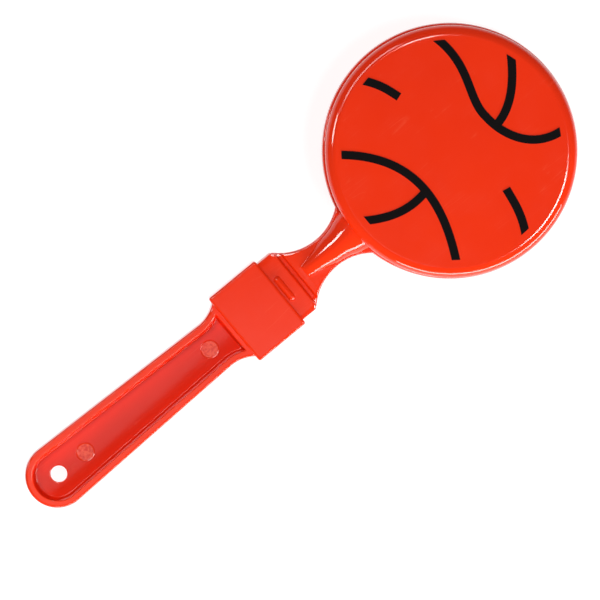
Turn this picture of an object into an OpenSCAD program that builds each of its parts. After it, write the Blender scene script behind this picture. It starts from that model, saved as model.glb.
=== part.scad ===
// Basketball clapper: a hand-held noisemaker.
// A flat centre paddle is moulded in one with the handle. Two cup-shaped outer clappers
// are clamped to it by their root plates, inside a square locking sleeve, and each swings
// on a living hinge: a thin web of plastic at the bottom of a groove across its neck.
// Lengths are in millimetres. +X runs from the handle to the discs and +Z is up.
// The origin is the centre of the rear clapper's flat face, on which the object lies.

/* [Centre paddle] */
// Diameter of the paddle's disc
paddle_d = 85; // [70:0.5:100]
// Thickness of the raised rim round the paddle's disc
paddle_rim_t = 5; // [4:0.1:7]
// Width of that rim, seen from above
paddle_rim_w = 2.4; // [1.6:0.1:4]
// Thickness of the web inside the rim
paddle_web_t = 1.8; // [1.2:0.1:2.6]
// Thickness of the neck, and of the core that runs on through the sleeve
core_t = 4.8; // [3.6:0.1:6]
// Radius of the outer edges of that rim
paddle_edge_r = 0.9; // [0.3:0.1:1.2]
// How far the mould's parting line stands out at mid-thickness
parting_draft = 0.3; // [0.1:0.05:0.6]

/* [Outer clappers] */
// How far the paddle's rim stands out past the cups
paddle_lip = 0.8; // [0.3:0.1:2]
// Depth of each cup, from its rim to its flat face
cup_h = 10.5; // [8:0.1:14]
// Thickness of a cup's side wall
cup_wall = 1.8; // [1.2:0.1:2.6]
// Thickness of a cup's flat face
cup_face_t = 1.8; // [1.2:0.1:2.6]
// Outside radius between a cup's face and its wall
cup_edge_r = 3.4; // [2.8:0.1:5]
// Gap between a cup's rim and the paddle's rim when closed
rim_gap = 0.3; // [0.2:0.05:0.6]

/* [Necks] */
// Length of a neck, from the cup's wall to the middle of the hinge
neck_l = 24; // [20:0.5:32]
// Width of the paddle's neck at its waist
waist_w = 11.4; // [9:0.1:14]
// Distance of the waist from the cup's wall
waist_off = 11.4; // [9:0.1:14]
// Radius of the concave flares on both sides of the waist
flare_r = 19; // [16:0.5:28]
// How far a clapper's neck stands in from the paddle's on each side
neck_inset = 0.4; // [0.1:0.1:0.8]
// Thickness of the flat part of a clapper's neck
neck_t = 1.9; // [1.4:0.1:2.4]
// Radius of the rounded tongue that stiffens a clapper's neck
tongue_r = 5.2; // [4:0.1:5.4]
// Length of the tongue, from its tip to its full width
tongue_l = 18.2; // [14:0.1:22]
// Distance of the tongue's full width from the cup's wall
tongue_off = 2.3; // [0:0.1:4]
// Wall left over the tongue's hollow underside
tongue_wall = 1.6; // [1:0.1:2]

/* [Living hinges] */
// Thickness of the hinge's web
web_t = 0.5; // [0.3:0.05:0.8]
// Length of the web, along the neck
web_l = 1; // [0.6:0.1:1.6]
// Width of the groove at its top
groove_w = 2.1; // [1.8:0.1:3]

/* [Root plates] */
// Width of the root plates and of the core between them
plate_w = 23.8; // [20:0.1:28]
// Thickness of a root plate
plate_t = 2.9; // [2.2:0.1:3.6]
// Distance from the sleeve's mouth to the middle of the hinge
plate_out = 7.4; // [6:0.1:10]
// Gap between a root plate's back edge and the grip
plate_end_gap = 0.3; // [0.1:0.1:1]
// Length of the bead that stops the sleeve
bead_l = 9.9; // [6:0.1:14]
// Diameter of the bead
bead_d = 2.4; // [1.6:0.1:3]
// How far the bead stands out of the root plate
bead_h = 1; // [0.6:0.1:1.2]
// Gap between the bead and the sleeve
bead_gap = 0.6; // [0.3:0.1:1.5]
// Diameter of the pegs that locate a root plate in the core
peg_d = 3.4; // [2.4:0.1:4.4]
// Length of those pegs
peg_l = 2; // [1:0.1:2.2]
// Distance between the two pegs
peg_pitch = 12; // [8:0.5:16]
// Distance of the pegs from the root plate's back edge
peg_off = 6; // [4:0.5:9]
// Radial clearance of a peg in its socket
peg_clear = 0.1; // [0.05:0.05:0.3]

/* [Sleeve] */
// Length of the sleeve, along the handle
sleeve_l = 19.8; // [14:0.1:26]
// Wall of the sleeve
sleeve_wall = 1.3; // [1:0.1:2]
// Clearance between the sleeve and what it holds
sleeve_clear = 0.15; // [0.05:0.05:0.4]
// Outside radius along the sleeve's long edges
sleeve_r = 0.8; // [0.4:0.1:1.2]

/* [Handle] */
// Length of the grip, from the sleeve to its rounded end
grip_l = 86.6; // [70:0.5:110]
// Width of the grip at its rounded end
grip_end_w = 21.8; // [18:0.1:23]
// Width of the grip at its waist
grip_waist_w = 17.6; // [14:0.1:20]
// Length of the flare between the waist and the sleeve
grip_flare_l = 8.1; // [6:0.1:9]
// Radius of the flare's concave sides
grip_flare_r = 13; // [11:0.5:20]
// Width of the rim round the grip's recesses
grip_rim_w = 2.6; // [1.8:0.1:3.6]
// Radius of the outer edges of that rim
grip_edge_r = 0.7; // [0.3:0.1:1.2]
// Thickness of the web between the recesses
grip_web_t = 3; // [2:0.1:4]
// How much a recess narrows on each side from its mouth to its floor
recess_draft = 0.8; // [0.3:0.1:1.6]
// Width of the bar left between a recess and the sleeve
crossbar_w = 1.3; // [0.8:0.1:3]
// How far the sleeve laps over the grip's end
sleeve_lap = 0.9; // [0.5:0.1:2]
// Diameter of the hanging hole
hole_d = 5.5; // [4:0.1:8]
// Distance of the hanging hole from the centre of the grip's rounded end, towards the sleeve
hole_off = 0.6; // [0:0.1:3]
// Diameter of the ejector marks on the front recess's floor
mark_d = 6.4; // [4:0.1:8]
// Height of those marks
mark_h = 0.15; // [0.1:0.05:0.4]
// Distance of the first mark from the hanging hole
mark_near = 11.4; // [8:0.1:20]
// Distance of the second mark from the sleeve
mark_far = 10.3; // [7:0.1:16]

/* [Printed seams] */
// Width of a printed seam
seam_w = 2.8; // [1.5:0.1:4]
// Thickness of the ink
seam_t = 0.1; // [0.05:0.01:0.2]
// Radius of the printed area, as a share of the flat face's radius
print_share = 0.95; // [0.8:0.005:1]
// How far the print sits off the face's centre, along the handle
print_off_x = 0.3; // [-1:0.1:1]
// How far the print sits off the face's centre, across the handle
print_off_y = 0.5; // [-1:0.1:1]

/* [Hidden] */
$fn = 96;
eps = 0.01;
// How far a cutting shape runs past what it cuts
margin = 1;
plastic = "orangered";

// Wall left between the tongue's hollow and the cup
hollow_stop = tongue_wall / 3;

// Radii
cup_r = paddle_d / 2 - paddle_lip;
face_r = cup_r - cup_edge_r;
paddle_r = paddle_d / 2;
grip_end_r = grip_end_w / 2;

// Stations along the handle, from the discs' centre towards the grip
wall_x = -cup_r;
hinge_x = wall_x - neck_l;
waist_x = wall_x - waist_off;
tongue_x = wall_x - tongue_off;
neck_end_x = wall_x + 2 * cup_wall;
mouth_x = hinge_x - plate_out;
sleeve_back_x = mouth_x - sleeve_l;
step_x = sleeve_back_x + sleeve_lap;
plate_back_x = step_x + plate_end_gap;
peg_x = plate_back_x + peg_off;
bead_x = mouth_x + bead_gap + bead_d / 2;
grip_waist_x = sleeve_back_x - grip_flare_l;
recess_end_x = sleeve_back_x - crossbar_w;
grip_end_x = sleeve_back_x - grip_l + grip_end_r;
hole_x = grip_end_x + hole_off;

// Levels above the paddle's middle plane, the same on both sides of it
core_z = core_t / 2;
cup_z = paddle_rim_t / 2 + rim_gap;
web_z = cup_z + web_t;
neck_z = cup_z + neck_t;
plate_z = core_z + plate_t;
face_z = cup_z + cup_h;
grip_t = 2 * plate_z;
recess_h = (grip_t - grip_web_t) / 2;

// Height of the paddle's middle plane above the surface that the object lies on
mid_z = face_z;

// Slope of the tongue: its round ridge leaves the neck's flat top at the tip
tongue_slope = asin(tongue_r / tongue_l);

// Places a part drawn for the front of the paddle on its front or its rear
module at_front() { translate([0, 0, mid_z]) children(); }
module at_rear() { translate([0, 0, mid_z]) mirror([0, 0, 1]) children(); }

// Extrudes an outline drawn in X and Z across the handle
module across(width) { rotate([90, 0, 0]) linear_extrude(width, center = true) children(); }

// Outline seen from above of the strap from x0 to x1: a plate drawn in to a waist, whose sides may stand in
module strap_plan(x0, x1, inset = 0) {
    difference() {
        translate([x0, -plate_w / 2]) square([x1 - x0, plate_w]);
        for (side = [-1, 1])
            translate([waist_x, side * (waist_w / 2 + flare_r)]) circle(flare_r + inset);
    }
}

// Square with one rounded outer corner, revolved into a cup or its inside
module cup_profile(radius, height, edge) {
    square([radius - edge, height]);
    square([radius, height - edge]);
    translate([radius - edge, height - edge]) circle(edge);
}

// Side of a moulding in section, from its lower face to its upper one: how far each point stands in from the
// parting line, and its height above it. The side slopes in from the line to a rounded edge.
function rounded_edge(half_t, edge_r) =
    [for (turn = [0:15:90])
        [parting_draft + edge_r * (1 - cos(turn)), half_t - edge_r * (1 - sin(turn))]];
function mirrored(points) = [for (i = [len(points) - 1:-1:0]) [points[i][0], -points[i][1]]];
function moulded_side(half_t, edge_r) =
    concat(mirrored(rounded_edge(half_t, edge_r)), [[0, 0]], rounded_edge(half_t, edge_r));

// Centre paddle: half of the section through its disc, with rim, web and parting line
module paddle_section() {
    half_rim = paddle_rim_t / 2;
    half_web = paddle_web_t / 2;
    rim_in = paddle_r - paddle_rim_w;
    inside = [[rim_in, half_rim], [rim_in - parting_draft, half_web], [0, half_web]];
    outside = [for (p = moulded_side(half_rim, paddle_edge_r)) [paddle_r - p[0], p[1]]];
    polygon(concat(mirrored(inside), outside, inside));
}

// Wall across the handle, of an outline drawn in Y and Z
module slab(points, thickness = eps) {
    rotate([90, 0, 90]) linear_extrude(thickness) polygon(points);
}

// Outline that narrows from its foot to its top
function tapered(foot_half, top_half, height) =
    [[-foot_half, 0], [foot_half, 0], [top_half, height], [-top_half, height]];

// Grip: a tapered bar with a rounded end, rounded edges and a parting line at mid-thickness
module grip_bar() {
    half_t = grip_t / 2;
    side = moulded_side(half_t, grip_edge_r);
    waist = [for (p = side) [grip_waist_w / 2 - p[0], p[1]]];
    hull() {
        translate([grip_end_x, 0, 0]) rotate_extrude($fn = 64)
            polygon(concat([[0, -half_t]], [for (p = side) [grip_end_r - p[0], p[1]]], [[0, half_t]]));
        translate([grip_waist_x - margin, 0, 0])
            slab(concat(waist, [for (i = [len(waist) - 1:-1:0]) [-waist[i][0], waist[i][1]]]), margin);
    }
}

// Flare that widens the grip from its waist into the sleeve, with the same edges on its concave sides
module grip_flare() {
    top = grip_t / 2 + margin;
    side = [for (p = moulded_side(grip_t / 2, grip_edge_r)) [grip_flare_r + p[0], p[1]]];
    widest = side[0][0];
    difference() {
        translate([grip_waist_x - eps, -plate_w / 2, -grip_t / 2])
            cube([step_x - grip_waist_x + eps, plate_w, grip_t]);
        for (end = [-1, 1])
            translate([grip_waist_x, end * (grip_waist_w / 2 + grip_flare_r), 0]) rotate_extrude()
                polygon(concat([[0, -top], [widest, -top]], side, [[widest, top], [0, top]]));
    }
}

// Half-width of the flare at x, less the rim
function recess_half(x) =
    grip_waist_w / 2 - grip_rim_w
    + grip_flare_r - sqrt(grip_flare_r * grip_flare_r - pow(x - grip_waist_x, 2));

// Recess in the front of the grip, narrower at its floor
module grip_recess() {
    floor_z = grip_t / 2 - recess_h;
    over = recess_h + eps;
    mouth_r = grip_end_r - grip_rim_w;
    waist_half = recess_half(grip_waist_x);
    end_half = recess_half(recess_end_x);
    translate([0, 0, floor_z]) {
        hull() {
            translate([grip_end_x, 0, 0])
                cylinder(over, r1 = mouth_r - recess_draft, r2 = mouth_r, $fn = 64);
            translate([grip_waist_x, 0, 0]) slab(tapered(waist_half - recess_draft, waist_half, over));
        }
        hull() {
            translate([grip_waist_x - eps, 0, 0]) slab(tapered(waist_half - recess_draft, waist_half, over));
            translate([recess_end_x, 0, 0]) slab(tapered(end_half - recess_draft, end_half, over));
        }
    }
}

// Round witness marks of the ejector pins, on the floor of the front recess
module ejector_marks() {
    for (x = [hole_x + mark_near, sleeve_back_x - mark_far])
        translate([x, 0, grip_web_t / 2 - eps]) cylinder(mark_h + eps, d = mark_d);
}

module handle_paddle() {
    color(plastic) at_front() {
        difference() {
            union() {
                rotate_extrude() paddle_section();
                linear_extrude(core_t, center = true)
                    difference() {
                        strap_plan(step_x - eps, wall_x + paddle_rim_w);
                        circle(paddle_r - paddle_rim_w / 2);
                    }
                difference() {
                    union() {
                        grip_bar();
                        grip_flare();
                    }
                    grip_recess();
                    mirror([0, 0, 1]) grip_recess();
                }
                ejector_marks();
            }
            translate([hole_x, 0, -grip_t]) cylinder(2 * grip_t, d = hole_d);
            for (side = [-1, 1])
                translate([peg_x, side * peg_pitch / 2, -core_t])
                    cylinder(2 * core_t, d = peg_d + 2 * peg_clear);
        }
    }
}

// Section of the sleeve: a rectangle with rounded corners round what it holds
module rounded_rectangle(width, height, radius) {
    square([width - 2 * radius, height], center = true);
    square([width, height - 2 * radius], center = true);
    for (sx = [-1, 1], sy = [-1, 1])
        translate([sx * (width / 2 - radius), sy * (height / 2 - radius)]) circle(radius);
}

module locking_sleeve() {
    inner_w = plate_w + 2 * sleeve_clear;
    inner_h = grip_t + 2 * sleeve_clear;
    color(plastic) at_front()
        translate([sleeve_back_x, 0, 0]) rotate([90, 0, 90])
            linear_extrude(sleeve_l)
                difference() {
                    rounded_rectangle(inner_w + 2 * sleeve_wall, inner_h + 2 * sleeve_wall, sleeve_r);
                    square([inner_w, inner_h], center = true);
                }
}

// Root plate: clamped under the sleeve, with the stop bead on top and pegs below
module root_plate() {
    end_x = hinge_x - web_l / 2;
    intersection() {
        translate([0, 0, core_z]) linear_extrude(plate_t) strap_plan(plate_back_x, end_x, neck_inset);
        across(plate_w + 2 * margin)
            polygon([[plate_back_x - margin, core_z - margin], [end_x, core_z - margin], [end_x, web_z],
                     [hinge_x - groove_w / 2, plate_z], [plate_back_x - margin, plate_z]]);
    }
    difference() {
        translate([bead_x, 0, plate_z + bead_h - bead_d / 2]) {
            rotate([90, 0, 0]) cylinder(bead_l - bead_d, d = bead_d, center = true);
            for (side = [-1, 1])
                translate([0, side * (bead_l - bead_d) / 2, 0]) sphere(d = bead_d);
        }
        translate([bead_x - bead_d, -bead_l, plate_z - plate_t]) cube([2 * bead_d, 2 * bead_l, plate_t / 2]);
    }
    for (side = [-1, 1])
        translate([peg_x, side * peg_pitch / 2, core_z - peg_l]) cylinder(peg_l + eps, d = peg_d);
}

module front_root_plate() { color(plastic) at_front() root_plate(); }
module rear_root_plate() { color(plastic) at_rear() root_plate(); }

// Living hinge: the thin web left at the bottom of the groove
module hinge_web() {
    translate([0, 0, cup_z]) linear_extrude(web_t)
        strap_plan(hinge_x - web_l / 2, hinge_x + web_l / 2, neck_inset);
}

module front_hinge_web() { color(plastic) at_front() hinge_web(); }
module rear_hinge_web() { color(plastic) at_rear() hinge_web(); }

// Round ridge of the tongue, or its hollow underside, sloping up towards the cup
module tongue(radius) {
    translate([tongue_x, 0, neck_z]) rotate([0, 90 - tongue_slope, 0])
        cylinder(4 * tongue_l, r = radius, center = true);
}

// Clapper's neck: a flat strap with the tongue on top and a hollow under the tongue
module clapper_neck() {
    start_x = hinge_x + web_l / 2;
    difference() {
        union() {
            intersection() {
                translate([0, 0, cup_z]) linear_extrude(neck_t) strap_plan(start_x, neck_end_x, neck_inset);
                across(plate_w + 2 * margin)
                    polygon([[start_x, cup_z - margin], [0, cup_z - margin], [0, neck_z],
                             [hinge_x + groove_w / 2, neck_z], [start_x, web_z]]);
            }
            intersection() {
                tongue(tongue_r);
                translate([tongue_x - tongue_l - margin, -tongue_r, cup_z])
                    cube([tongue_l + tongue_off + cup_wall + margin, 2 * tongue_r, cup_h - cup_edge_r / 2]);
            }
        }
        difference() {
            tongue(tongue_r - tongue_wall);
            translate([0, 0, cup_z - cup_h]) cylinder(3 * cup_h, r = cup_r + hollow_stop);
        }
        translate([0, 0, cup_z - margin]) cylinder(cup_h + margin, r = cup_r - cup_wall / 2);
    }
}

// Outer clapper: a shallow cup, mouth towards the paddle, on its neck
module clapper() {
    translate([0, 0, cup_z]) rotate_extrude()
        difference() {
            cup_profile(cup_r, cup_h, cup_edge_r);
            translate([0, -eps])
                cup_profile(cup_r - cup_wall, cup_h - cup_face_t + eps, cup_edge_r - cup_wall);
        }
    clapper_neck();
}

module front_clapper() { color(plastic) at_front() clapper(); }
module rear_clapper() { color(plastic) at_rear() clapper(); }

// Point and direction at share t of a cubic curve through p[0] and p[3]
function curve_point(p, t) =
    pow(1 - t, 3) * p[0] + 3 * t * pow(1 - t, 2) * p[1] + 3 * t * t * (1 - t) * p[2] + pow(t, 3) * p[3];
function curve_dir(p, t) =
    pow(1 - t, 2) * (p[1] - p[0]) + 2 * t * (1 - t) * (p[2] - p[1]) + t * t * (p[3] - p[2]);
function left_of(d) = [-d[1], d[0]] / norm(d);

// Band of the seam's width along a curve given in shares of the flat face's radius
module seam(shares, steps = 40) {
    p = face_r * shares;
    edge = [for (i = [0:steps]) seam_w / 2 * left_of(curve_dir(p, i / steps))];
    mid = [for (i = [0:steps]) curve_point(p, i / steps)];
    polygon(concat([for (i = [0:steps]) mid[i] + edge[i]], [for (i = [steps:-1:0]) mid[i] - edge[i]]));
}

// Seams of a ball, in shares of the face's radius from the print's centre: two long curves, each with
// a branch, and two short ones
near_seam = [[-0.82, 0.62], [-0.29, 0.21], [-0.29, -0.27], [-0.63, -0.86]];
near_branch = [[-1, 0.03], [-0.79, -0.12], [-0.61, -0.18], [-0.38, -0.13]];
far_seam_top = [[0.5, 0.86], [0.61, 0.46], [0.38, 0.26], [0.41, 0.03]];
far_seam_low = [[0.41, 0.05], [0.41, -0.16], [0.54, -0.5], [0.93, -0.48]];
far_branch = [[0.44, -0.08], [0.62, -0.05], [0.78, 0.09], [0.93, 0.33]];
short_seam_left = [[-0.23, 0.97], [-0.11, 0.83], [-0.09, 0.73], [-0.06, 0.64]];
short_seam_right = [[0.15, -0.56], [0.13, -0.68], [0.12, -0.83], [0.01, -1]];

module printed_seams() {
    color("black") at_front()
        translate([print_off_x, print_off_y, face_z]) linear_extrude(seam_t)
            intersection() {
                circle(face_r * print_share);
                union() {
                    seam(near_seam);
                    seam(near_branch);
                    seam(far_seam_top);
                    seam(far_seam_low);
                    seam(far_branch);
                    seam(short_seam_left);
                    seam(short_seam_right);
                }
            }
}

handle_paddle();
locking_sleeve();
front_root_plate();
front_hinge_web();
front_clapper();
rear_root_plate();
rear_hinge_web();
rear_clapper();
printed_seams();
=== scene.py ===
import math

import bmesh
import bpy
from mathutils import Matrix, Vector


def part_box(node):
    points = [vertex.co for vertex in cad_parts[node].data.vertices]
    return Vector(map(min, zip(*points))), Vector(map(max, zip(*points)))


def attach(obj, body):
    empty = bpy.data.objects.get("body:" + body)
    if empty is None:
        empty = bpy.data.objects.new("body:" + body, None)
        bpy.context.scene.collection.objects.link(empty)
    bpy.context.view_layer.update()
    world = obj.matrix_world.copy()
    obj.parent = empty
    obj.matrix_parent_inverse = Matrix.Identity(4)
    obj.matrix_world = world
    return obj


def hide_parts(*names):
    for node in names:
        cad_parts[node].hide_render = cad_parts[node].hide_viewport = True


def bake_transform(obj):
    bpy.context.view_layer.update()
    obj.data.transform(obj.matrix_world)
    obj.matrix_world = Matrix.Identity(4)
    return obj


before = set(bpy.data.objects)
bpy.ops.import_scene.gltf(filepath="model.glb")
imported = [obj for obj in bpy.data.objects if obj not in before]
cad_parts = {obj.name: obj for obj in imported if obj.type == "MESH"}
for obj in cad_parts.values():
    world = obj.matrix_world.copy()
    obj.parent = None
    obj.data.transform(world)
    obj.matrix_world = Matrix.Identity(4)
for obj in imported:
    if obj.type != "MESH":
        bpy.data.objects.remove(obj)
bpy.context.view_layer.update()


# Handle and centre paddle
# One polypropylene moulding: an H-section grip with a hanging hole, a flat core that runs through the
# sleeve, a neck, and a flat disc with a raised rim. The mould's halves meet at mid-thickness and leave a
# fine ridge along its sides, and the ejector pins leave round marks in the grip's front recess.

# Sizes are in millimetres, and MM turns them into metres.
MM = 0.001


def node_box(node):
    """Lowest and highest corner of a CAD node, in millimetres."""
    low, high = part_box(node)
    return low / MM, high / MM


paddle_low, paddle_high = node_box("handle_paddle")
sleeve_low, sleeve_high = node_box("locking_sleeve")
plate_low, plate_high = node_box("front_root_plate")
clapper_low, clapper_high = node_box("front_clapper")
mid_z = (paddle_low.z + paddle_high.z) / 2

# The grip's outline: a round end, straight sides that draw in to a waist, and a flare into the sleeve.
GRIP_END_R = 10.9
GRIP_WAIST_HALF = 8.8
GRIP_FLARE_L = 8.1
GRIP_FLARE_R = 13.0
GRIP_RIM = 2.6
SLEEVE_LAP = 0.9
CROSSBAR = 1.3
GRIP_END_STEPS = 24
GRIP_SIDE_STEPS = 16
GRIP_FLARE_STEPS = 12
grip_end = Vector((paddle_low.x + GRIP_END_R, 0))
grip_waist_x = sleeve_low.x - GRIP_FLARE_L
step_x = sleeve_low.x + SLEEVE_LAP
recess_end_x = sleeve_low.x - CROSSBAR


def arc(centre, radius, start, end, steps):
    """Points on an arc, from one angle to another."""
    angles = [start + (end - start) * k / steps for k in range(steps + 1)]
    return [Vector((centre[0] + radius * math.cos(a), centre[1] + radius * math.sin(a))) for a in angles]


def with_mirror(points):
    """Points that end on the first axis, followed by their mirror image on its other side."""
    return points + [Vector((p.x, -p.y)) for p in reversed(points[:-1])]


def grip_ring(inset):
    """Grip's outline seen from above, drawn in by an inset, from one corner at the sleeve to the other."""
    end_x = step_x - inset * (step_x - recess_end_x) / GRIP_RIM
    flare_r = GRIP_FLARE_R + inset
    flare_end = math.asin((end_x - grip_waist_x) / flare_r)
    flare_centre = (grip_waist_x, GRIP_WAIST_HALF + GRIP_FLARE_R)
    flare = arc(flare_centre, flare_r, flare_end - math.pi / 2, -math.pi / 2, GRIP_FLARE_STEPS)
    tip_r = GRIP_END_R - inset
    waist = flare[-1] - grip_end
    touch = math.atan2(waist.y, waist.x) + math.acos(tip_r / waist.length)
    tip = arc(grip_end, tip_r, touch, math.pi, GRIP_END_STEPS)
    side = [flare[-1].lerp(tip[0], k / GRIP_SIDE_STEPS) for k in range(1, GRIP_SIDE_STEPS)]
    return with_mirror(flare + side + tip)


# The grip's section: a rim round a drafted recess on each face, with a web between the recesses.
GRIP_EDGE_R = 0.7
GRIP_WEB_HALF = 1.5
RECESS_DRAFT = 0.8
RECESS_LIP_R = 0.3
RECESS_FILLET = 0.6
RECESS_MARGIN = 0.7
PARTING = 0.3
ARC_STEPS = 6
HOLD = 0.12
WELD = 1e-7
grip_half_t = (paddle_high.z - paddle_low.z) / 2

# Places of the grip's three finishes in its list of materials.
PLAIN_SKIN = 0
FROSTED_SKIN = 1
# The recesses' finish is painted a deeper red, as painted shade.
RECESS_SHADED_SKIN = 2

# The hanging hole, and the marks that the ejector pins left: a flat pad with a ring of flash round it.
HOLE_R = 2.75
HOLE_OFF = 0.6
HOLE_LIP = 0.2
HOLE_LIP_BULGE = 0.3
MARK_R = 3.2
MARK_H = 0.1
MARK_FLASH = 0.15
MARK_STEP = 0.1
MARK_NEAR = 11.4
MARK_FAR = 10.3
CIRCLE_SIDES = 48
hole_centre = grip_end + Vector((HOLE_OFF, 0))
mark_centres = ((hole_centre.x + MARK_NEAR, 0), (sleeve_low.x - MARK_FAR, 0))


def rounded(corners, closed=True, steps=ARC_STEPS):
    """Outline through corners (x, y, radius), each an arc with a point held close on either side of it."""
    points = []
    for i, (x, y, radius) in enumerate(corners):
        corner = Vector((x, y))
        at_end = not closed and i in (0, len(corners) - 1)
        if radius == 0 or at_end:
            points.append(corner)
            continue
        before = (Vector(corners[i - 1][:2]) - corner).normalized()
        after = (Vector(corners[(i + 1) % len(corners)][:2]) - corner).normalized()
        half = before.angle(after) / 2
        reach = radius / math.tan(half)
        centre = corner + (before + after).normalized() * (radius / math.sin(half))
        spoke = corner + before * reach - centre
        turn = (math.pi - 2 * half) * (1 if before.cross(after) < 0 else -1)
        points.append(corner + before * (reach + HOLD))
        for k in range(steps + 1):
            points.append(centre + Matrix.Rotation(turn * k / steps, 2) @ spoke)
        points.append(corner + after * (reach + HOLD))
    return points


def bridge(mesh, ring_a, ring_b, skin=PLAIN_SKIN):
    """Quads between two closed rings of as many vertices."""
    count = len(ring_a)
    for i in range(count):
        j = (i + 1) % count
        mesh.faces.new((ring_a[i], ring_a[j], ring_b[j], ring_b[i])).material_index = skin


def ring_edges(mesh, ring):
    """Edges round a closed ring of vertices."""
    edges = []
    for i, vertex in enumerate(ring):
        after = ring[(i + 1) % len(ring)]
        edges.append(mesh.edges.get((vertex, after)) or mesh.edges.new((vertex, after)))
    return edges


def circle_stack(mesh, centre, profile):
    """Rings of vertices round a centre, joined in turn, from a profile (radius, height above the middle)."""
    rings = []
    for radius, height in profile:
        points = arc(centre, radius, 0, 2 * math.pi, CIRCLE_SIDES)[:-1]
        rings.append([mesh.verts.new((p.x, p.y, mid_z + height)) for p in points])
    for ring_a, ring_b in zip(rings, rings[1:]):
        bridge(mesh, ring_a, ring_b)
    return rings


def finished(name, mesh, *materials):
    """Object of a mesh drawn in millimetres, with its normals turned outward."""
    bmesh.ops.scale(mesh, vec=(MM, MM, MM), verts=mesh.verts)
    bmesh.ops.remove_doubles(mesh, verts=mesh.verts, dist=WELD)
    bmesh.ops.recalc_face_normals(mesh, faces=mesh.faces)
    data = bpy.data.meshes.new(name)
    mesh.to_mesh(data)
    mesh.free()
    for material in materials:
        data.materials.append(material)
    piece = bpy.data.objects.new(name, data)
    bpy.context.scene.collection.objects.link(piece)
    return piece


def grip():
    """Grip with its recesses, hanging hole and ejector marks."""
    mesh = bmesh.new()
    foot = GRIP_RIM + RECESS_DRAFT
    section = with_mirror(rounded([
        (foot + RECESS_MARGIN, GRIP_WEB_HALF, 0), (foot, GRIP_WEB_HALF, RECESS_FILLET),
        (GRIP_RIM, grip_half_t, RECESS_LIP_R), (PARTING, grip_half_t, GRIP_EDGE_R), (0, 0, 0),
    ], closed=False))
    rings = []
    for inset, height in section:
        rings.append([mesh.verts.new((p.x, p.y, mid_z + height)) for p in grip_ring(inset)])
    for i in range(len(rings) - 1):
        in_recess = min(section[i].x, section[i + 1].x) > GRIP_RIM
        bridge(mesh, rings[i], rings[i + 1], RECESS_SHADED_SKIN if in_recess else PLAIN_SKIN)

    bulge = HOLE_LIP_BULGE * HOLE_LIP
    hole = [(HOLE_R + 2 * HOLE_LIP, GRIP_WEB_HALF), (HOLE_R + HOLE_LIP, GRIP_WEB_HALF),
            (HOLE_R + bulge, GRIP_WEB_HALF - bulge), (HOLE_R, GRIP_WEB_HALF - HOLE_LIP)]
    hole += [(radius, -height) for radius, height in reversed(hole)]
    hole_rings = circle_stack(mesh, hole_centre, hole)

    front_edges = ring_edges(mesh, rings[0]) + ring_edges(mesh, hole_rings[0])
    pad = GRIP_WEB_HALF + MARK_H
    flash = pad + MARK_FLASH
    mark = [(MARK_R, GRIP_WEB_HALF), (MARK_R - MARK_STEP, flash), (MARK_R - 2 * MARK_STEP, flash),
            (MARK_R - 4 * MARK_STEP, pad), (MARK_R - 5 * MARK_STEP, pad)]
    for centre in mark_centres:
        mark_rings = circle_stack(mesh, centre, mark)
        mesh.faces.new(mark_rings[-1]).material_index = FROSTED_SKIN
        front_edges += ring_edges(mesh, mark_rings[0])
    rear_edges = ring_edges(mesh, rings[-1]) + ring_edges(mesh, hole_rings[-1])
    for edges in (front_edges, rear_edges):
        fill = bmesh.ops.triangle_fill(mesh, use_beauty=True, edges=edges)
        for face in fill["geom"]:
            if isinstance(face, bmesh.types.BMFace):
                face.material_index = RECESS_SHADED_SKIN
    return finished("grip", mesh, plastic, frosted, recess_shaded_plastic)


# The disc: a thin web with a raised rim on both faces.
PADDLE_RIM_HALF = 2.5
PADDLE_RIM_W = 2.4
PADDLE_WEB_HALF = 0.9
PADDLE_FILLET = 0.4
PADDLE_LIP_R = 0.3
PADDLE_EDGE_R = 0.9
DISC_SIDES = 256
ON_AXIS = 1e-6


def revolved(name, profile, centre_z, sides, mirror=1):
    """Closed solid turned from a profile (radius, height) that starts and ends on the axis."""
    mesh = bmesh.new()
    turn = 2 * math.pi / sides
    rings = []
    for radius, height in profile:
        z = centre_z + mirror * height
        if radius < ON_AXIS:
            rings.append([mesh.verts.new((0, 0, z))])
            continue
        rings.append([mesh.verts.new((radius * math.cos(turn * i), radius * math.sin(turn * i), z))
                      for i in range(sides)])
    for ring_a, ring_b in zip(rings, rings[1:]):
        if len(ring_a) == len(ring_b) == sides:
            bridge(mesh, ring_a, ring_b)
            continue
        pole, ring = (ring_a[0], ring_b) if len(ring_a) == 1 else (ring_b[0], ring_a)
        for i in range(sides):
            mesh.faces.new((pole, ring[i], ring[(i + 1) % sides]))
    return finished(name, mesh, plastic)


def paddle_disc():
    """Disc of the paddle, with its raised rim on both faces."""
    disc_r = min(paddle_high.x, paddle_high.y)
    rim_in = disc_r - PADDLE_RIM_W
    profile = with_mirror(rounded([
        (0, PADDLE_WEB_HALF, 0), (rim_in - PARTING, PADDLE_WEB_HALF, PADDLE_FILLET),
        (rim_in, PADDLE_RIM_HALF, PADDLE_LIP_R), (disc_r - PARTING, PADDLE_RIM_HALF, PADDLE_EDGE_R),
        (disc_r, 0, 0),
    ], closed=False))
    return revolved("paddle_disc", profile, mid_z, DISC_SIDES)


# The core and the neck: a strap as wide as the root plates, drawn in to a waist between sleeve and disc.
CORE_HALF_T = 2.4
CORE_LAP = 1.0
CORE_EDGE_R = 0.35
CORE_DRAFT = 0.15
CORE_STEPS = 60
CORE_EDGE_STEPS = 4
WAIST_HALF = 5.7
WAIST_OFF = 11.4
FLARE_R = 19.0
cup_r = clapper_high.x
plate_half = plate_high.y
waist_x = -cup_r - WAIST_OFF


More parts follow.
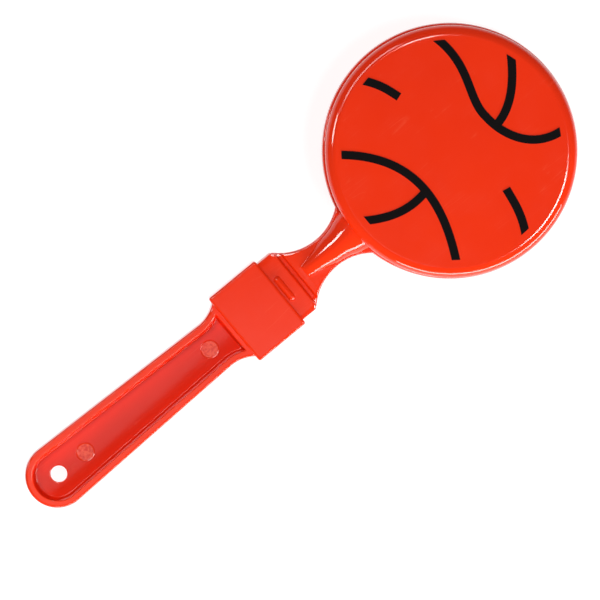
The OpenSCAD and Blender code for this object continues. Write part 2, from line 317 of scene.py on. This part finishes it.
def strap_half(x, inset=0):
    """Half-width of the flat strap at x: a plate drawn in to a waist, whose sides may stand in."""
    reach = x - waist_x
    radius = FLARE_R + inset
    if abs(reach) >= radius:
        return plate_half
    return min(plate_half, WAIST_HALF + FLARE_R - math.sqrt(radius ** 2 - reach ** 2))


def lofted(name, loops):
    """Closed solid through cross-section loops, with both ends capped."""
    mesh = bmesh.new()
    rings = [[mesh.verts.new(point) for point in loop] for loop in loops]
    for ring_a, ring_b in zip(rings, rings[1:]):
        bridge(mesh, ring_a, ring_b)
    mesh.faces.new(rings[0])
    mesh.faces.new(rings[-1])
    return finished(name, mesh, plastic)


def paddle_strap():
    """Core and neck of the paddle, from inside the grip to inside the disc's rim."""
    start = step_x - CORE_LAP
    end = -cup_r + PADDLE_RIM_W / 2
    loops = []
    for k in range(CORE_STEPS + 1):
        x = start + (end - start) * k / CORE_STEPS
        half = strap_half(x)
        flat = half - CORE_DRAFT
        corners = [(flat, CORE_HALF_T, CORE_EDGE_R), (half, 0, 0), (flat, -CORE_HALF_T, CORE_EDGE_R),
                   (-flat, -CORE_HALF_T, CORE_EDGE_R), (-half, 0, 0), (-flat, CORE_HALF_T, CORE_EDGE_R)]
        loops.append([(x, y, mid_z + z) for y, z in rounded(corners, steps=CORE_EDGE_STEPS)])
    return lofted("paddle_strap", loops)


# Orange-red polypropylene, coloured through and shot in a polished mould. It gives the eye a clear gloss
# with small highlights, a faint waviness, a slow drift of colour, and scuffs and scratches from handling.
PLASTIC_COLOUR = "#ee340d"
PLASTIC_DRIFT = "#e02b0a"
POLYPROPYLENE_IOR = 1.49
FLOW_SIZE = 38.0
SCUFF_SIZE = 14.0
SCUFF_LOW = 0.35
SCUFF_HIGH = 0.75
GLOSSY = 0.06
SCUFFED = 0.12
WAVE_SIZE = 5.0
WAVE_H = 0.1
WAVE_STRENGTH = 0.06

# Scratches run in two directions across the worn patches. They are drawn wider than real ones, to show.
SCRATCH_L = 70.0
SCRATCH_GAP = 3.0
SCRATCH_SPAN = 0.008
SCRATCH_TURNS = (25, -62)
SCRATCH_COLOUR = "#f47a58"
SCRATCH_TONE = 0.2
WORN_LOW = 0.5
WORN_HIGH = 0.65
NOISE_MIDDLE = 0.5


def linear(hex_colour):
    """Linear colour, with alpha, of an sRGB hex value."""
    shares = [int(hex_colour[i:i + 2], 16) / 255 for i in (1, 3, 5)]
    return [s / 12.92 if s <= 0.04045 else ((s + 0.055) / 1.055) ** 2.4 for s in shares] + [1.0]


def per_metre(size_mm):
    """Texture scale that gives features of that size."""
    return 1 / (size_mm * MM)


def add_node(tree, kind, inputs=None, **settings):
    """New shader node of that kind, with its settings, and with a value or a link for each named input."""
    node = tree.nodes.new(kind)
    for name, value in settings.items():
        setattr(node, name, value)
    for name, value in (inputs or {}).items():
        if isinstance(value, bpy.types.NodeSocket):
            tree.links.new(value, node.inputs[name])
        else:
            node.inputs[name].default_value = value
    return node


def new_material(name):
    """Material with an empty node tree, the tree, and the place on the piece that its patterns follow."""
    material = bpy.data.materials.new(name)
    material.use_nodes = True
    tree = material.node_tree
    tree.nodes.clear()
    return material, tree, add_node(tree, "ShaderNodeTexCoord").outputs["Object"]


def hairlines(tree, place, turn):
    """Cover of long fine scratches in one direction, drawn where stretched noise crosses its middle."""
    stretch = (per_metre(SCRATCH_L), per_metre(SCRATCH_GAP), per_metre(SCRATCH_L))
    along = add_node(tree, "ShaderNodeMapping",
                     {"Vector": place, "Rotation": (0, 0, math.radians(turn)), "Scale": stretch})
    noise = add_node(tree, "ShaderNodeTexNoise",
                     {"Vector": along.outputs["Vector"], "Scale": 1.0, "Detail": 0.0})
    level = add_node(tree, "ShaderNodeMath",
                     {0: noise.outputs["Fac"], 1: NOISE_MIDDLE}, operation="SUBTRACT")
    away = add_node(tree, "ShaderNodeMath", {0: level.outputs["Value"]}, operation="ABSOLUTE")
    cover = add_node(tree, "ShaderNodeMapRange",
                     {"Value": away.outputs["Value"], "From Min": 0.0, "From Max": SCRATCH_SPAN,
                      "To Min": 1.0, "To Max": 0.0})
    return cover.outputs["Result"]


def moulded_polypropylene(name, colour, drift, sink=0.0):
    """Glossy polypropylene, whose faces may dip along the handle's middle line, by a curve per metre."""
    material, tree, place = new_material(name)
    flow = add_node(tree, "ShaderNodeTexNoise",
                    {"Vector": place, "Scale": per_metre(FLOW_SIZE), "Detail": 3.0})
    clean = add_node(tree, "ShaderNodeMix",
                     {"Factor": flow.outputs["Fac"], "A": linear(colour), "B": linear(drift)},
                     data_type="RGBA")
    scuff = add_node(tree, "ShaderNodeTexNoise",
                     {"Vector": place, "Scale": per_metre(SCUFF_SIZE), "Detail": 8.0, "Roughness": 0.7})
    gloss = add_node(tree, "ShaderNodeMapRange",
                     {"Value": scuff.outputs["Fac"], "From Min": SCUFF_LOW, "From Max": SCUFF_HIGH,
                      "To Min": GLOSSY, "To Max": SCUFFED})
    lines = add_node(tree, "ShaderNodeMath",
                     {i: hairlines(tree, place, turn) for i, turn in enumerate(SCRATCH_TURNS)},
                     operation="MAXIMUM")
    worn = add_node(tree, "ShaderNodeMapRange",
                    {"Value": scuff.outputs["Fac"], "From Min": WORN_LOW, "From Max": WORN_HIGH,
                     "To Min": 0.0, "To Max": SCRATCH_TONE})
    scratch = add_node(tree, "ShaderNodeMath",
                       {0: lines.outputs["Value"], 1: worn.outputs["Result"]}, operation="MULTIPLY")
    marked = add_node(tree, "ShaderNodeMix",
                      {"Factor": scratch.outputs["Value"], "A": clean.outputs["Result"],
                       "B": linear(SCRATCH_COLOUR)}, data_type="RGBA")
    wave = add_node(tree, "ShaderNodeTexNoise",
                    {"Vector": place, "Scale": per_metre(WAVE_SIZE), "Detail": 2.0})
    relief = add_node(tree, "ShaderNodeBump",
                      {"Height": wave.outputs["Fac"], "Strength": WAVE_STRENGTH, "Distance": WAVE_H * MM})
    across = add_node(tree, "ShaderNodeSeparateXYZ", {"Vector": place}).outputs["Y"]
    square = add_node(tree, "ShaderNodeMath", {0: across, 1: across}, operation="MULTIPLY")
    dish = add_node(tree, "ShaderNodeMath", {0: square.outputs["Value"], 1: sink}, operation="MULTIPLY")
    sunken = add_node(tree, "ShaderNodeBump",
                      {"Height": dish.outputs["Value"], "Strength": 1.0, "Distance": 1.0,
                       "Normal": relief.outputs["Normal"]})
    skin = add_node(tree, "ShaderNodeBsdfPrincipled",
                    {"Base Color": marked.outputs["Result"], "Roughness": gloss.outputs["Result"],
                     "Normal": sunken.outputs["Normal"], "IOR": POLYPROPYLENE_IOR})
    add_node(tree, "ShaderNodeOutputMaterial", {"Surface": skin.outputs["BSDF"]})
    return material


# The same plastic in the recesses, painted a deeper red: painted shade for their shadowed walls and floors.
# Their floors sank a little as the thick web cooled, which gives a soft change of tone across the gloss.
RECESS_SHADE_COLOUR = "#ea2809"
RECESS_SHADE_DRIFT = "#de2007"
SINK_DEPTH = 0.1
SINK_HALF = 5.5

# The same plastic where it met a blasted ejector pin: a dull, sparkling grain. The real grain is finer, and
# is drawn this coarse to show in the render.
FROST_DARK = "#e2301a"
FROST_PALE = "#f7573a"
FROST_ROUGHNESS = 0.4
GRAIN_SIZE = 0.8
GRAIN_H = 0.35
GRAIN_LOW = 0.38
GRAIN_HIGH = 0.62


def frosted_polypropylene():
    """Dull polypropylene with a fine grain of pale and dark specks."""
    material, tree, place = new_material("frosted_polypropylene")
    grain = add_node(tree, "ShaderNodeTexNoise",
                     {"Vector": place, "Scale": per_metre(GRAIN_SIZE), "Detail": 3.0})
    relief = add_node(tree, "ShaderNodeBump",
                      {"Height": grain.outputs["Fac"], "Strength": 1.0, "Distance": GRAIN_H * MM})
    speck = add_node(tree, "ShaderNodeMapRange",
                     {"Value": grain.outputs["Fac"], "From Min": GRAIN_LOW, "From Max": GRAIN_HIGH})
    tone = add_node(tree, "ShaderNodeMix",
                    {"Factor": speck.outputs["Result"], "A": linear(FROST_DARK), "B": linear(FROST_PALE)},
                    data_type="RGBA")
    skin = add_node(tree, "ShaderNodeBsdfPrincipled",
                    {"Base Color": tone.outputs["Result"], "Roughness": FROST_ROUGHNESS,
                     "Normal": relief.outputs["Normal"], "IOR": POLYPROPYLENE_IOR})
    add_node(tree, "ShaderNodeOutputMaterial", {"Surface": skin.outputs["BSDF"]})
    return material


plastic = moulded_polypropylene("moulded_polypropylene", PLASTIC_COLOUR, PLASTIC_DRIFT)
# The recesses' deeper red is painted shade.
recess_shaded_plastic = moulded_polypropylene("recess_polypropylene_painted_shade", RECESS_SHADE_COLOUR, RECESS_SHADE_DRIFT,
                                       sink=SINK_DEPTH / (SINK_HALF ** 2 * MM))
frosted = frosted_polypropylene()

SHARP_ANGLE = math.radians(38)


def fused(name, parts):
    """One closed mesh made of several closed ones that overlap."""
    base = parts[0]
    for other in parts[1:]:
        join = base.modifiers.new("join", "BOOLEAN")
        join.operation = "UNION"
        join.solver = "EXACT"
        join.object = other
    seen = base.evaluated_get(bpy.context.evaluated_depsgraph_get())
    data = bpy.data.meshes.new_from_object(seen)
    for part in parts:
        bpy.data.objects.remove(part)
    data.name = name
    piece = bpy.data.objects.new(name, data)
    bpy.context.scene.collection.objects.link(piece)
    return piece


def smooth(piece):
    """Shades a piece smooth, apart from the edges where it turns sharply."""
    mesh = bmesh.new()
    mesh.from_mesh(piece.data)
    for face in mesh.faces:
        face.smooth = True
    for edge in mesh.edges:
        edge.smooth = edge.calc_face_angle(0) < SHARP_ANGLE
    mesh.to_mesh(piece.data)
    mesh.free()


handle = fused("handle_paddle_moulding", [grip(), paddle_strap(), paddle_disc()])
smooth(handle)
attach(handle, "handle")
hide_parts("handle_paddle")


# Outer clappers
# Two like mouldings in the same plastic, one on each side of the paddle: a shallow cup on a flat neck that a
# hollow tongue stiffens. The tongue rises from a tip near the hinge to the cup's wall, and the cup's mouth
# faces the paddle.
CUP_WALL = 1.8
CUP_FACE_T = 1.8
CUP_EDGE_R = 3.4
CUP_LIP_R = 0.3
CUP_EDGE_STEPS = 10
cup_h = clapper_high.z - clapper_low.z
cup_z = clapper_low.z - mid_z


def clapper_cup(mirror):
    """Cup of a clapper: flat face, rounded edge and thin wall."""
    inner = cup_r - CUP_WALL
    ceiling = cup_h - CUP_FACE_T
    profile = rounded([
        (0, cup_h, 0), (cup_r, cup_h, CUP_EDGE_R), (cup_r, 0, CUP_LIP_R), (inner, 0, CUP_LIP_R),
        (inner, ceiling, CUP_EDGE_R - CUP_WALL), (0, ceiling, 0),
    ], closed=False, steps=CUP_EDGE_STEPS)
    return revolved("cup", [(p.x, cup_z + p.y) for p in profile], mid_z, DISC_SIDES, mirror)


# The neck: a flat strap that starts at the bottom of the hinge's groove, with rounded upper edges. The
# groove's lip is rounded through points along the strap and down from its top.
NECK_T = 1.9
NECK_INSET = 0.4
NECK_EDGE_R = 0.25
NECK_EDGE_STEPS = 5
NECK_CHAMFER = 0.1
NECK_STEPS = 110
GROOVE_W = 2.1
NECK_LIP = ((-0.08, -0.2), (0, -0.06), (0.12, 0))
NECK_LIP_END = 0.3
web_low, web_high = node_box("front_hinge_web")
web_z = web_high.z - mid_z
hinge_x = (web_low.x + web_high.x) / 2
neck_z = cup_z + NECK_T

# The tongue: an oval arch over the neck, low and blunt at its tip, with an even wall over its hollow.
TONGUE_L = 18.2
TONGUE_OFF = 2.3
TONGUE_H = 5.2
TONGUE_BOW = 0.4
TONGUE_TIP_H = 0.5
TONGUE_TIP_L = 0.25
TONGUE_TIP_HALF = 1.9
TONGUE_ROOT_HALF = 6.8
TONGUE_WALL = 1.6
TONGUE_FILLET = 0.2
TONGUE_ROOM = 0.3
BESIDE_SLOPE = 8
HOLLOW_STOP = TONGUE_WALL / 3
tongue_tip_x = -cup_r - TONGUE_OFF - TONGUE_L

# Mesh columns across a strap: they crowd at the tongue's foot, which keeps off the strap's rounded edges.
ARCH_COLUMNS = 12
EDGE_COLUMNS = 8
EDGE_CROWDING = 1.6
LEAST_FOOT = 0.6
FOOT_ROOM = 0.1


def crest(x):
    """Height of the tongue's ridge above the neck's flat top: a blunt tip, then a rise that flattens out."""
    share = (x - tongue_tip_x) / TONGUE_L
    if share < 0:
        return TONGUE_TIP_H * (1 + (x - tongue_tip_x) / TONGUE_TIP_L)
    rise = TONGUE_H - TONGUE_TIP_H
    return TONGUE_TIP_H + rise * ((1 + TONGUE_BOW) * share - TONGUE_BOW * share ** 2)


def tongue_half(x):
    """Half-width of the tongue's foot, which grows from tip to cup and stays inside the neck's edge."""
    share = (x - tongue_tip_x) / TONGUE_L
    straight = TONGUE_TIP_HALF + (TONGUE_ROOT_HALF - TONGUE_TIP_HALF) * share
    room = strap_half(x, NECK_INSET) - NECK_EDGE_R - TONGUE_ROOM
    return max(TONGUE_TIP_HALF, min(straight, room))


def arch(x, y, inset):
    """Height above the neck's flat top of the tongue's arch, drawn in by an inset, and below 0 beside it."""
    half = tongue_half(x) - inset
    height = crest(x) - inset
    beyond = max(0, abs(y) - half)
    if height <= 0:
        return height - beyond
    return height * math.sqrt(max(0, 1 - (y / half) ** 2)) - BESIDE_SLOPE * beyond


def filleted(height):
    """That height, or 0 where it is below 0, with a fillet where the two meet."""
    return (height + math.sqrt(height ** 2 + TONGUE_FILLET ** 2)) / 2


def strap_face(x, flat, level, arched, inset=0, lift=0):
    """Points across one face of a strap, level or with the tongue's arch, drawn in by an inset."""
    foot = min(max(LEAST_FOOT, tongue_half(x) - inset), flat - FOOT_ROOM)
    turns = [math.pi / 2 * (k / ARCH_COLUMNS - 1) for k in range(2 * ARCH_COLUMNS + 1)]
    inner = [foot * math.sin(turn) for turn in turns]
    shares = [(k / EDGE_COLUMNS) ** EDGE_CROWDING for k in range(1, EDGE_COLUMNS + 1)]
    outer = [foot + (flat - foot) * share for share in shares]
    columns = [-y for y in reversed(outer)] + inner + outer
    if not arched:
        return [(y, level) for y in columns]
    return [(y, level + filleted(arch(x, y, inset) + lift)) for y in columns]


def strap_loop(x, low, high, tongue=False, hollow=False):
    """Cross-section of a clapper's strap at x, between two levels above the paddle's middle plane."""
    half = strap_half(x, NECK_INSET)
    flat = half - NECK_EDGE_R
    top = strap_face(x, flat, high, tongue)
    bottom = strap_face(x, flat, low, hollow, TONGUE_WALL, high - low)
    edge_z = top[-1][1] - NECK_EDGE_R
    turns = [math.pi / 2 * k / NECK_EDGE_STEPS for k in range(1, NECK_EDGE_STEPS + 1)]
    edge = [(flat + NECK_EDGE_R * math.sin(turn), edge_z + NECK_EDGE_R * math.cos(turn)) for turn in turns]
    edge += [(half, low + NECK_CHAMFER), (half - NECK_CHAMFER, low)]
    return top + edge + bottom[::-1] + [(-y, z) for y, z in reversed(edge)]


def clapper_neck(mirror):
    """Neck of a clapper, from the hinge into the cup's wall."""
    start = web_high.x
    lip = hinge_x + GROOVE_W / 2
    first = lip + NECK_LIP_END
    end = -cup_r + CUP_WALL / 2
    hollow_end = -cup_r - HOLLOW_STOP
    stations = [(start, web_z), ((start + lip) / 2, (web_z + neck_z) / 2)]
    stations += [(lip + along, neck_z + rise) for along, rise in NECK_LIP]
    stations += [(first + (end - first) * k / NECK_STEPS, neck_z) for k in range(NECK_STEPS + 1)]
    loops = []
    for x, high in stations:
        section = strap_loop(x, cup_z, high, tongue=True, hollow=x < hollow_end)
        loops.append([(x, y, mid_z + mirror * z) for y, z in section])
    return lofted("neck", loops)


for side, mirror in (("front", 1), ("rear", -1)):
    clapper = fused(f"{side}_clapper_moulding", [clapper_cup(mirror), clapper_neck(mirror)])
    smooth(clapper)
    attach(clapper, f"{side}_clapper")
    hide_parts(f"{side}_clapper")


# Root plates and living hinges
# Each clapper's moulding runs on past its hinge into a flat plate that the sleeve clamps to the core. The
# hinge is a web of the same plastic, half a millimetre thick, at the bottom of a groove, and a bead on the
# plate stops the sleeve.
PLATE_STEPS = 40
PLATE_LIP = ((-0.08, -0.03), (0.02, -0.15))
PLATE_LIP_START = 0.2
BEAD_L = 9.9
BEAD_D = 2.4
BEAD_H = 1.0
BEAD_GAP = 0.6
BEAD_END_STEPS = 10
BEAD_SIDES = 32
WEB_STEPS = 10


def root_plate(mirror):
    """Plate from inside the sleeve to the hinge's groove."""
    lip = hinge_x - GROOVE_W / 2
    reach = lip - PLATE_LIP_START - sleeve_high.x
    stations = [(plate_low.x, grip_half_t)]
    stations += [(sleeve_high.x + reach * k / PLATE_STEPS, grip_half_t) for k in range(PLATE_STEPS + 1)]
    stations += [(lip + along, grip_half_t + rise) for along, rise in PLATE_LIP]
    stations += [(web_low.x, web_z)]
    loops = []
    for x, high in stations:
        loops.append([(x, y, mid_z + mirror * z) for y, z in strap_loop(x, CORE_HALF_T, high)])
    return lofted("plate", loops)


def bead(mirror):
    """Rounded bar across the plate, sunk to its stop height."""
    radius = BEAD_D / 2
    end = arc((0, BEAD_L / 2 - radius), radius, 0, math.pi / 2, BEAD_END_STEPS)
    bar = revolved("bead", [(p.x, -p.y) for p in reversed(end)] + end, 0, BEAD_SIDES)
    x = sleeve_high.x + BEAD_GAP + radius
    z = mid_z + mirror * (grip_half_t + BEAD_H - radius)
    bar.data.transform(Matrix.Translation((x * MM, 0, z * MM)) @ Matrix.Rotation(math.pi / 2, 4, "X"))
    return bar


def hinge_web(name, mirror):
    """Thin web of the hinge, in short steps along its length."""
    loops = []
    for k in range(WEB_STEPS + 1):
        x = web_low.x + (web_high.x - web_low.x) * k / WEB_STEPS
        loops.append([(x, y, mid_z + mirror * z) for y, z in strap_loop(x, cup_z, web_z)])
    return lofted(name, loops)


for side, mirror in (("front", 1), ("rear", -1)):
    plate = fused(f"{side}_root_plate_moulding", [root_plate(mirror), bead(mirror)])
    smooth(plate)
    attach(plate, "handle")
    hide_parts(f"{side}_root_plate")
    web = hinge_web(f"{side}_living_hinge", mirror)
    smooth(web)
    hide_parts(f"{side}_hinge_web")
    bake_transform(web)


# Locking sleeve
# A short square tube, moulded in the same plastic. It slides up over the grip to the beads, and its close
# fit clamps both root plates to the core.
SLEEVE_WALL = 1.3
SLEEVE_R = 0.8
SLEEVE_BORE_R = 0.15
SLEEVE_MOUTH_R = 0.75
SLEEVE_BORE_LIP_R = 0.2
SLEEVE_CORNER_STEPS = 8


def sleeve_loop(half_w, half_h, radius):
    """Rounded rectangle round the sleeve's axis."""
    corners = [(half_w, half_h, radius), (-half_w, half_h, radius),
               (-half_w, -half_h, radius), (half_w, -half_h, radius)]
    return rounded(corners, steps=SLEEVE_CORNER_STEPS)


def sleeve_tube():
    """Tube with rounded long edges and softly rounded mouths."""
    half_w = sleeve_high.y
    half_h = (sleeve_high.z - sleeve_low.z) / 2
    outer = sleeve_loop(half_w, half_h, SLEEVE_R)
    inner = sleeve_loop(half_w - SLEEVE_WALL, half_h - SLEEVE_WALL, SLEEVE_BORE_R)
    section = rounded([
        (0, sleeve_low.x, SLEEVE_MOUTH_R), (0, sleeve_high.x, SLEEVE_MOUTH_R),
        (SLEEVE_WALL, sleeve_high.x, SLEEVE_BORE_LIP_R), (SLEEVE_WALL, sleeve_low.x, SLEEVE_BORE_LIP_R),
    ])
    mesh = bmesh.new()
    rings = []
    for inset, x in section:
        points = [a.lerp(b, inset / SLEEVE_WALL) for a, b in zip(outer, inner)]
        rings.append([mesh.verts.new((x, p.x, mid_z + p.y)) for p in points])
    for i, ring in enumerate(rings):
        bridge(mesh, rings[i - 1], ring)
    return finished("locking_sleeve_tube", mesh, plastic)


sleeve = sleeve_tube()
smooth(sleeve)
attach(sleeve, "handle")
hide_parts("locking_sleeve")


# Printed seams
# The seams of a ball, pad-printed on the front clapper's face in black ink. The ink dries to a thin satin
# film, a little uneven in gloss.
INK_COLOUR = "#060304"
INK_FILM_SIZE = 2.5
INK_SATIN = 0.3
INK_DULL = 0.48
INK_SPECULAR = 0.04


def pad_printed_ink():
    """Satin black ink film."""
    material, tree, place = new_material("pad_printed_ink")
    film = add_node(tree, "ShaderNodeTexNoise",
                    {"Vector": place, "Scale": per_metre(INK_FILM_SIZE), "Detail": 4.0})
    gloss = add_node(tree, "ShaderNodeMapRange",
                     {"Value": film.outputs["Fac"], "To Min": INK_SATIN, "To Max": INK_DULL})
    skin = add_node(tree, "ShaderNodeBsdfPrincipled",
                    {"Base Color": linear(INK_COLOUR), "Roughness": gloss.outputs["Result"],
                     "Specular IOR Level": INK_SPECULAR})
    add_node(tree, "ShaderNodeOutputMaterial", {"Surface": skin.outputs["BSDF"]})
    return material


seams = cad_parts["printed_seams"]
seams.data.materials.clear()
seams.data.materials.append(pad_printed_ink())


# Floor, light and camera
# The clapper lies printed face up on an opal acrylic table that glows softly from below, under soft boxes,
# and is seen from almost straight above.
IMAGE_SIZE = 600
DISC_CENTRE_PX = Vector((451.9, 151.7))
MM_PER_PX = 0.3297
HANDLE_ANGLE = math.radians(39.52)
right = Vector((math.cos(HANDLE_ANGLE), -math.sin(HANDLE_ANGLE), 0))
up = Vector((math.sin(HANDLE_ANGLE), math.cos(HANDLE_ANGLE), 0))
offset = (Vector((IMAGE_SIZE / 2, IMAGE_SIZE / 2)) - DISC_CENTRE_PX) * MM_PER_PX
target = right * offset.x - up * offset.y + Vector((0, 0, clapper_high.z))

TABLE_HALF = 3000
TABLE_COLOUR = "#a8a8a8"
TABLE_ROUGHNESS = 0.8
TABLE_SPECULAR = 0.1
TABLE_GAP = 0.05
GLOW_COLOUR = "#ffffff"
GLOW = 0.75
GLOW_HALF = 116.0
GLOW_END = 230.0


def opal_acrylic_table():
    """White acrylic, lit from below in a soft rounded square, which keeps shadows pale."""
    material, tree, place = new_material("opal_acrylic_table")
    square = add_node(tree, "ShaderNodeVectorMath", {0: place, 1: place}, operation="MULTIPLY")
    spread = add_node(tree, "ShaderNodeVectorMath", {0: square.outputs["Vector"]}, operation="LENGTH")
    reach = add_node(tree, "ShaderNodeMath", {0: spread.outputs["Value"]}, operation="SQRT")
    glow = add_node(tree, "ShaderNodeMapRange",
                    {"Value": reach.outputs["Value"], "From Min": GLOW_HALF * MM, "From Max": GLOW_END * MM,
                     "To Min": GLOW, "To Max": 0.0}, interpolation_type="SMOOTHSTEP")
    skin = add_node(tree, "ShaderNodeBsdfPrincipled",
                    {"Base Color": linear(TABLE_COLOUR), "Roughness": TABLE_ROUGHNESS,
                     "Specular IOR Level": TABLE_SPECULAR, "Emission Color": linear(GLOW_COLOUR),
                     "Emission Strength": glow.outputs["Result"]})
    add_node(tree, "ShaderNodeOutputMaterial", {"Surface": skin.outputs["BSDF"]})
    return material


table = bmesh.new()
bmesh.ops.create_grid(table, x_segments=2, y_segments=2, size=TABLE_HALF)
floor = finished("floor", table, opal_acrylic_table())
floor.location = (target.x * MM, target.y * MM, -TABLE_GAP * MM)
floor.rotation_euler = (0, 0, -HANDLE_ANGLE)


def soft_box(name, bearing, tilt, distance, width, length, watts):
    """Area light in metres that faces the clapper: bearing clockwise from picture right, tilt off plumb."""
    light = bpy.data.lights.new(name, "AREA")
    light.shape = "RECTANGLE"
    light.size = width
    light.size_y = length
    light.energy = watts
    lamp = bpy.data.objects.new(name, light)
    turn = math.radians(bearing)
    lean = math.radians(tilt)
    across = right * math.cos(turn) - up * math.sin(turn)
    away = across * math.sin(lean) + Vector((0, 0, math.cos(lean)))
    lamp.location = target * MM + away * distance
    lamp.rotation_euler = away.to_track_quat("Z", "Y").to_euler()
    bpy.context.scene.collection.objects.link(lamp)


# The large boxes light the faces. The left box, the low card and the top lamp also draw the bright streaks
# on the tongue and along the cup's rounded edge.
soft_box("left_soft_box", bearing=192, tilt=40, distance=2.5, width=0.45, length=0.45, watts=15)
soft_box("upper_window", bearing=229, tilt=30, distance=2.5, width=1.0, length=0.6, watts=13)
soft_box("right_soft_box", bearing=24, tilt=18, distance=3.0, width=0.55, length=0.55, watts=27)
soft_box("rim_card", bearing=65, tilt=78, distance=0.4, width=0.8, length=0.11, watts=4.0)
soft_box("overhead_soft_box", bearing=84, tilt=5.8, distance=3.0, width=0.35, length=0.35, watts=0.36)
soft_box("top_lamp", bearing=277, tilt=9.5, distance=3.0, width=0.15, length=0.3, watts=5.0)

FILL_LIGHT = 0.1
world = bpy.data.worlds.new("studio")
world.use_nodes = True
world.node_tree.nodes["Background"].inputs["Color"].default_value = (1, 1, 1, 1)
world.node_tree.nodes["Background"].inputs["Strength"].default_value = FILL_LIGHT
bpy.context.scene.world = world

CAMERA_DISTANCE = 2500.0
CAMERA_TILT = math.radians(3.0)
CAMERA_REACH = 20
lens = bpy.data.cameras.new("camera")
lens.lens = lens.sensor_width * CAMERA_DISTANCE / (IMAGE_SIZE * MM_PER_PX)
lens.clip_end = CAMERA_REACH
camera = bpy.data.objects.new("camera", lens)
back = Vector((0, math.sin(CAMERA_TILT), math.cos(CAMERA_TILT)))
side_axis = up.cross(back).normalized()
up_axis = back.cross(side_axis)
camera.matrix_world = Matrix.Translation((target + back * CAMERA_DISTANCE) * MM) @ Matrix(
    (side_axis, up_axis, back)).transposed().to_4x4()
bpy.context.scene.collection.objects.link(camera)
bpy.context.scene.camera = camera
bpy.context.scene.view_settings.view_transform = "Standard"
